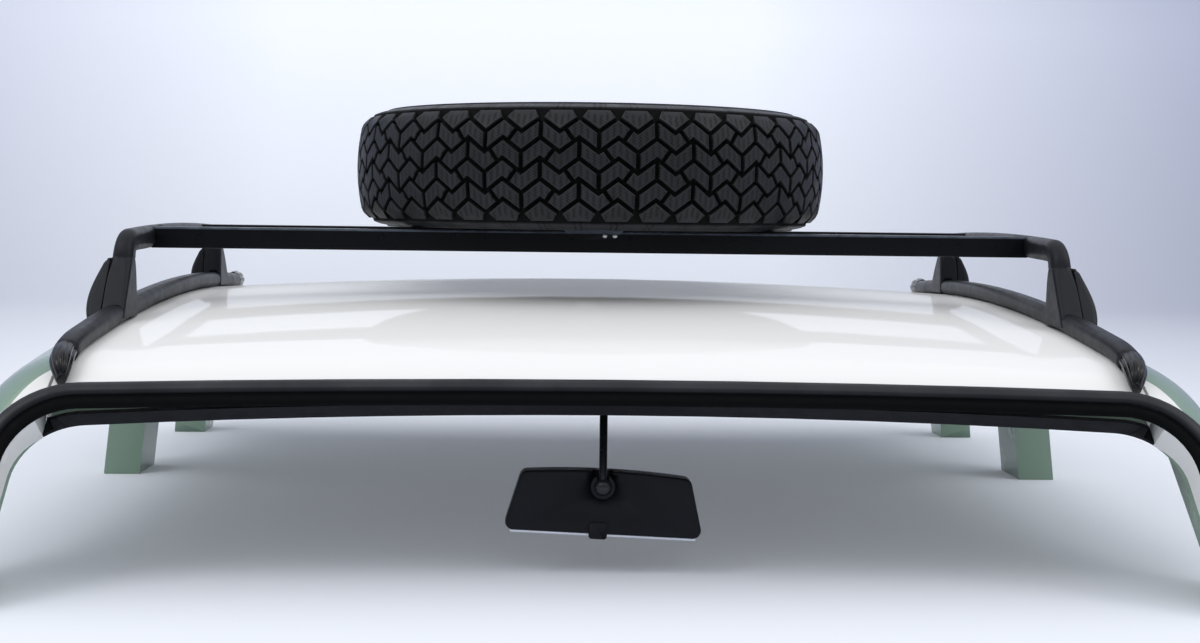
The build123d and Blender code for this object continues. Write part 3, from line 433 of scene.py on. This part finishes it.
# Painted highlight: the strip's near-white colour stands in for light caught by the glass's lower edge.
polished.set("Base Color", polished.mix(polished.noise(90, 4), linear(206, 212, 228), linear(244, 247, 252)))
polished.set("Roughness", polished.spread(polished.noise(200, 3), 0.3, 0.7, 0.3, 0.5))
bright_edge = add_mesh("mirror_bright_edge", edge_strip, polished)
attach(bright_edge, "mirror")

# Screws of the front clip. Two small domed screws in bright zinc hold the
# clip's lip to the front bar.
screw_radius, screw_dome = 0.0030, 0.55
for screw_x, number in ((0.0125, 1), (0.0238, 2)):
    screw = bmesh.new()
    bmesh.ops.create_uvsphere(screw, u_segments=24, v_segments=12, radius=screw_radius)
    bmesh.ops.bisect_plane(screw, geom=screw.verts[:] + screw.edges[:] + screw.faces[:], dist=1e-7,
                           plane_co=(0, 0, 0), plane_no=(0, 1, 0), clear_outer=True)
    bmesh.ops.contextual_create(screw, geom=[edge for edge in screw.edges if edge.is_boundary])
    bmesh.ops.scale(screw, vec=(1, screw_dome, 1), verts=screw.verts)
    bmesh.ops.translate(screw, vec=(screw_x, -0.13764, 0.3205), verts=screw.verts)
    screw = add_mesh("clip_screw_%d" % number, screw, zinc, crease=50)
    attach(screw, "roof_section")

# Tyre. Road tread of four bands of interlocking chevron blocks between
# zigzag grooves, with lugs over both shoulders and rings on the sidewalls.
# It is one moulding of black rubber, fine sipes cut in every block; its grooves and sipes are painted near black as
# shade.
def verts_of(result):
    return [item for item in result["geom"] if isinstance(item, bmesh.types.BMVert)]


def edges_of(result):
    return [item for item in result["geom"] if isinstance(item, bmesh.types.BMEdge)]


hub = Vector((0, 0.0196, 0.3963))
tyre_radius = 0.282
crown_radius, crown_half = 0.230, 0.0504    # tread's cross arc and half its length
shoulder_radius, shoulder_start = 0.04445, math.radians(34.9)
shoulder_centre = (0.24006, 0.02455)
waves = 42                                  # waves of a groove round the tread
wave = 2 * math.pi * tyre_radius / waves    # length of one
band, zig = 0.0220, 0.0078                  # width of a band, half a zigzag's height
groove, groove_depth = 0.0018, 0.0078       # half width at the floor and depth
lug_edge, lug_end = 0.0660, 0.0700          # measured over the shoulder
lug_lean = 0.0070                           # the lug's outer corners stand this much further in
repeats = 14                                # copies of three waves make the whole tread


def zigzag(index, line):
    """Corner of a zigzag groove on the flat tread; even ones are valleys."""
    return Vector((index * wave / 2, (2 - line) * band + (zig if index % 2 else -zig), 0))


def wrap(flat):
    """Bend a point of the flat tread round the tyre."""
    over = abs(flat.y) - crown_half
    blend = min(max((over + 0.006) / 0.012, 0.0), 1.0)
    lean = abs(flat.y) / crown_radius
    if over > 0:
        turn = shoulder_start + over / shoulder_radius
        radius = shoulder_centre[0] + shoulder_radius * math.cos(turn)
        height = shoulder_centre[1] + shoulder_radius * math.sin(turn)
    else:
        turn = shoulder_start
        radius = tyre_radius - crown_radius * (1 - math.cos(lean))
        height = crown_radius * math.sin(lean)
    lean += (turn - lean) * blend
    fade = min(max((lug_end - abs(flat.y)) / 0.010, 0.0), 1.0)
    sunk = (groove_depth - flat.z) * fade
    radius -= sunk * math.cos(lean)
    height = math.copysign(height - sunk * math.sin(lean), flat.y)
    around = flat.x / tyre_radius
    return hub + Vector((radius * math.sin(around), -radius * math.cos(around), height))


tread = bmesh.new()
blocks = []


def patch(*corners):
    return tread.faces.new([tread.verts.new(corner) for corner in corners])


for line in range(4):
    for start in ((0, 3), (2, 5))[line % 2]:
        upper = [zigzag(i, line) for i in range(start, start + 4)]
        lower = [zigzag(i, line + 1) for i in range(start, start + 4)]
        fall = (upper[2] - upper[1]).normalized()
        cross = Vector((-fall.y, fall.x, 0)) * (band * fall.x / 2)
        middle = (upper[1] + upper[2] + lower[1] + lower[2]) / 4
        over_cut, under_cut = middle + cross, middle - cross
        blocks.append(patch(lower[0], lower[1], under_cut, over_cut, upper[1], upper[0]))
        blocks.append(patch(under_cut, lower[2], lower[3], upper[3], upper[2], over_cut))
for side, line in ((1, 0), (-1, 4)):
    for middle in (range(2, 8, 2) if side > 0 else range(1, 7, 2)):
        left, tip, right = (zigzag(middle + step, line) for step in (-1, 0, 1))
        lean = Vector((lug_lean, 0, 0))
        outer_left, outer_right = (Vector((p.x, side * lug_edge, 0)) for p in (left, right))
        end_left, end_right = (Vector((p.x, side * lug_end, 0)) for p in (left, right))
        blocks.append(patch(left, tip, right, outer_right - lean, outer_left + lean))
        patch(left, outer_left + lean, outer_left)
        patch(right, outer_right, outer_right - lean)
        patch(outer_left, outer_left + lean, outer_right - lean, outer_right, end_right, end_left)
bmesh.ops.remove_doubles(tread, verts=tread.verts, dist=1e-6)
for vert in tread.verts[:]:                 # a corner on a neighbour's edge divides that edge
    for repeat in (-3 * wave, 0, 3 * wave):
        corner = vert.co + Vector((repeat, 0, 0))
        for edge in tread.edges[:]:
            start, span = edge.verts[0].co, edge.verts[1].co - edge.verts[0].co
            share = (corner - start).dot(span) / span.length_squared
            if 0.01 < share < 0.99 and (start + span * share - corner).length < 1e-6:
                bmesh.utils.edge_split(edge, edge.verts[0], share)
bmesh.ops.remove_doubles(tread, verts=tread.verts, dist=1e-6)
bmesh.ops.recalc_face_normals(tread, faces=tread.faces)
if sum(face.normal.z for face in tread.faces) < 0:
    bmesh.ops.reverse_faces(tread, faces=tread.faces)
for thickness, depth in ((groove, 0), (0.0007, groove_depth - 0.0005), (0.0006, 0.0005)):
    bmesh.ops.inset_individual(tread, faces=blocks, thickness=thickness, depth=depth, use_even_offset=True)
cuts = [((step * wave / 4, 0, 0), (1, 0, 0)) for step in range(4 * waves // repeats + 5)]
cuts += [((0, side * height, 0), (0, 1, 0)) for height in (0.011, 0.033, 0.056, 0.066) for side in (1, -1)]
for place, facing in cuts:
    bmesh.ops.bisect_plane(tread, geom=tread.verts[:] + tread.edges[:] + tread.faces[:],
                           plane_co=place, plane_no=facing, dist=1e-6)
height = tread.verts.layers.float.new("height")
for vert in tread.verts:
    vert[height] = max(vert.co.z / groove_depth, float(abs(vert.co.y) > lug_edge + 0.0001))
tread_map = tread.loops.layers.uv.new("tread")
for face in tread.faces:
    for loop in face.loops:
        loop[tread_map].uv = (loop.vert.co.x / wave, loop.vert.co.y / band)
for vert in tread.verts:
    vert.co = wrap(vert.co)
bmesh.ops.spin(tread, geom=tread.verts[:] + tread.edges[:] + tread.faces[:], cent=hub, axis=(0, 0, 1),
               angle=2 * math.pi * (repeats - 1) / repeats, steps=repeats - 1, use_duplicate=True)
bmesh.ops.remove_doubles(tread, verts=tread.verts, dist=1e-5)

# The sidewalls grow from the tread's edges ring by ring: radius and height.
sidewall = [(0.2560, 0.0655), (0.2505, 0.0668), (0.2465, 0.0674), (0.2455, 0.0690), (0.2400, 0.0690),
            (0.2385, 0.0678), (0.2300, 0.0677), (0.2295, 0.0683), (0.2265, 0.0683), (0.2258, 0.0673),
            (0.2100, 0.0652), (0.1950, 0.0612), (0.1850, 0.0572), (0.1838, 0.0580), (0.1815, 0.0578),
            (0.1805, 0.0560), (0.1740, 0.0520), (0.1656, 0.0515), (0.1656, 0.0200)]
for side in (1, -1):
    rim_edges = [edge for edge in tread.edges
                 if edge.is_boundary and side * (edge.verts[0].co.z - hub.z) > 0]
    radius = (rim_edges[0].verts[0].co - hub).xy.length
    level_z = rim_edges[0].verts[0].co.z - hub.z
    for next_radius, next_height in sidewall:
        ring = bmesh.ops.extrude_edge_only(tread, edges=rim_edges)
        rim_edges = edges_of(ring)
        bmesh.ops.scale(tread, verts=verts_of(ring), space=Matrix.Translation(-hub),
                        vec=(next_radius / radius, next_radius / radius, 1))
        bmesh.ops.translate(tread, verts=verts_of(ring), vec=(0, 0, side * next_height - level_z))
        for vert in verts_of(ring):
            vert[height] = 1.0
        radius, level_z = next_radius, side * next_height
inner = [edge for edge in tread.edges if edge.is_boundary]
bmesh.ops.bridge_loops(tread, edges=inner)

tyre_rubber = Finish("tyre_rubber", Specular_IOR_Level=0.25)
flat_place = tyre_rubber.node("ShaderNodeUVMap", {"uv_map": "tread"}, output="UV")
along = tyre_rubber.node("ShaderNodeSeparateXYZ", inputs={"Vector": flat_place}, output="X")
over = tyre_rubber.node("ShaderNodeSeparateXYZ", inputs={"Vector": flat_place}, output="Y")
ramp = abs(along.math("FRACT") - 0.5) * -4.0 + 1.0
across_band = (over - ramp * (zig / band)).math("FRACT")
ripple = abs((over * 7.0).math("FRACT") - 0.5) * 0.8
sipe_line = abs((along * 6.0 + ripple).math("FRACT") - 0.5)
in_block = abs(across_band - 0.5) < 0.26
# Painted shade: the sipes are darkened to near black, as well as bumped in.
sipe_cut_and_shade = tyre_rubber.spread(sipe_line, 0.09, 0.17, 1.0, 0.0) * in_block
rubber = tyre_rubber.mix(tyre_rubber.noise(26, 5), linear(22, 24, 27), linear(44, 46, 51))
# Painted shade: the rubber goes near black where it sinks into the grooves, and is rougher there.
groove_shade_and_matt = tyre_rubber.spread(tyre_rubber.node("ShaderNodeAttribute", {"attribute_name": "height"}, output="Fac"),
                             0.55, 0.95, 1.0, 0.0)
rubber = tyre_rubber.mix(groove_shade_and_matt, rubber, linear(3, 3, 4))
tyre_rubber.set("Base Color", tyre_rubber.mix(sipe_cut_and_shade, rubber, linear(5, 5, 6)))
tyre_rubber.set("Roughness", tyre_rubber.spread(tyre_rubber.noise(70, 5), 0.3, 0.7, 0.36, 0.5) + groove_shade_and_matt * 0.5)
tyre_rubber.bump(1.0 - sipe_cut_and_shade + tyre_rubber.noise(900, 3) * 0.12, 0.0007)
tyre = add_mesh("tyre_moulding", tread, tyre_rubber, crease=28)
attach(tyre, "roof_section")
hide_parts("tyre")

# Studio. A pale seamless floor and backdrop, two large soft lamps, and a
# room that is pale above and behind the part and dim low in front of it.
backdrop = bmesh.new()
half_room, floor_z, floor_back, bow_radius = 16, -0.0005, 4.2, 1.6
profile = [(-7, floor_z), (floor_back, floor_z)]
for turn in (math.radians(degrees) for degrees in range(10, 91, 10)):
    profile.append((floor_back + bow_radius * math.sin(turn), bow_radius - bow_radius * math.cos(turn)))
profile.append((floor_back + bow_radius, 7.0))
line = [backdrop.verts.new((-half_room, y, z)) for y, z in profile]
edges = [backdrop.edges.new(pair) for pair in zip(line, line[1:])]
sweep = bmesh.ops.extrude_edge_only(backdrop, edges=edges)
bmesh.ops.translate(backdrop, verts=verts_of(sweep), vec=(2 * half_room, 0, 0))
# The paper glows for camera, glossy and transmission rays, more strongly higher up, and painted shade darkens it
# towards both sides.
paper = Finish("paper", Roughness=0.9, Specular_IOR_Level=0.0, Emission_Strength=1.0)
aside = paper.part(paper.place, "X")
dim = paper.spread(aside, 0.9, 3.4).math("MAXIMUM", paper.spread(aside * -1.0, 1.2, 4.2))
shade = paper.mix(dim, linear(233, 237, 246), linear(160, 166, 188))
light_path = paper.tree.nodes.new("ShaderNodeLightPath")
seen = Value(light_path.outputs["Is Camera Ray"]).math("MAXIMUM", Value(light_path.outputs["Is Glossy Ray"])).math(
    "MAXIMUM", Value(light_path.outputs["Is Transmission Ray"]))
raised = paper.spread(paper.part(paper.place, "Z"), 0.0, 1.2, 0.12, 0.52)
paper.set("Base Color", shade)
paper.set("Emission Color", paper.mix(seen * raised, (0, 0, 0, 1), shade))
room = add_mesh("backdrop", backdrop, paper)

world = bpy.data.worlds.new("studio")
world.use_nodes = True
sky = Nodes(world.node_tree)
facing = sky.node("ShaderNodeTexCoord", output="Generated")
lit = sky.part(facing, "Z") + sky.part(facing, "Y") * 0.3
background = world.node_tree.nodes["Background"]
sky.feed(background.inputs["Color"], sky.mix(
    sky.spread(lit, -0.22, 0.42), (0.10, 0.11, 0.13, 1), (0.97, 0.98, 1.0, 1)))
background.inputs["Strength"].default_value = 1.0
bpy.context.scene.world = world
aim = Vector((0, 0, 0.3))
for name, place, size, power in (("key", (-2.4, -2.2, 3.0), 1.6, 24), ("fill", (2.8, -1.4, 2.6), 1.4, 15)):
    lamp = bpy.data.objects.new(name, bpy.data.lights.new(name, "AREA"))
    lamp.data.size = size
    lamp.data.energy = power
    lamp.location = place
    lamp.rotation_euler = (aim - Vector(place)).to_track_quat("-Z", "Y").to_euler()
    bpy.context.collection.objects.link(lamp)

bpy.context.scene.view_settings.view_transform = "Standard"
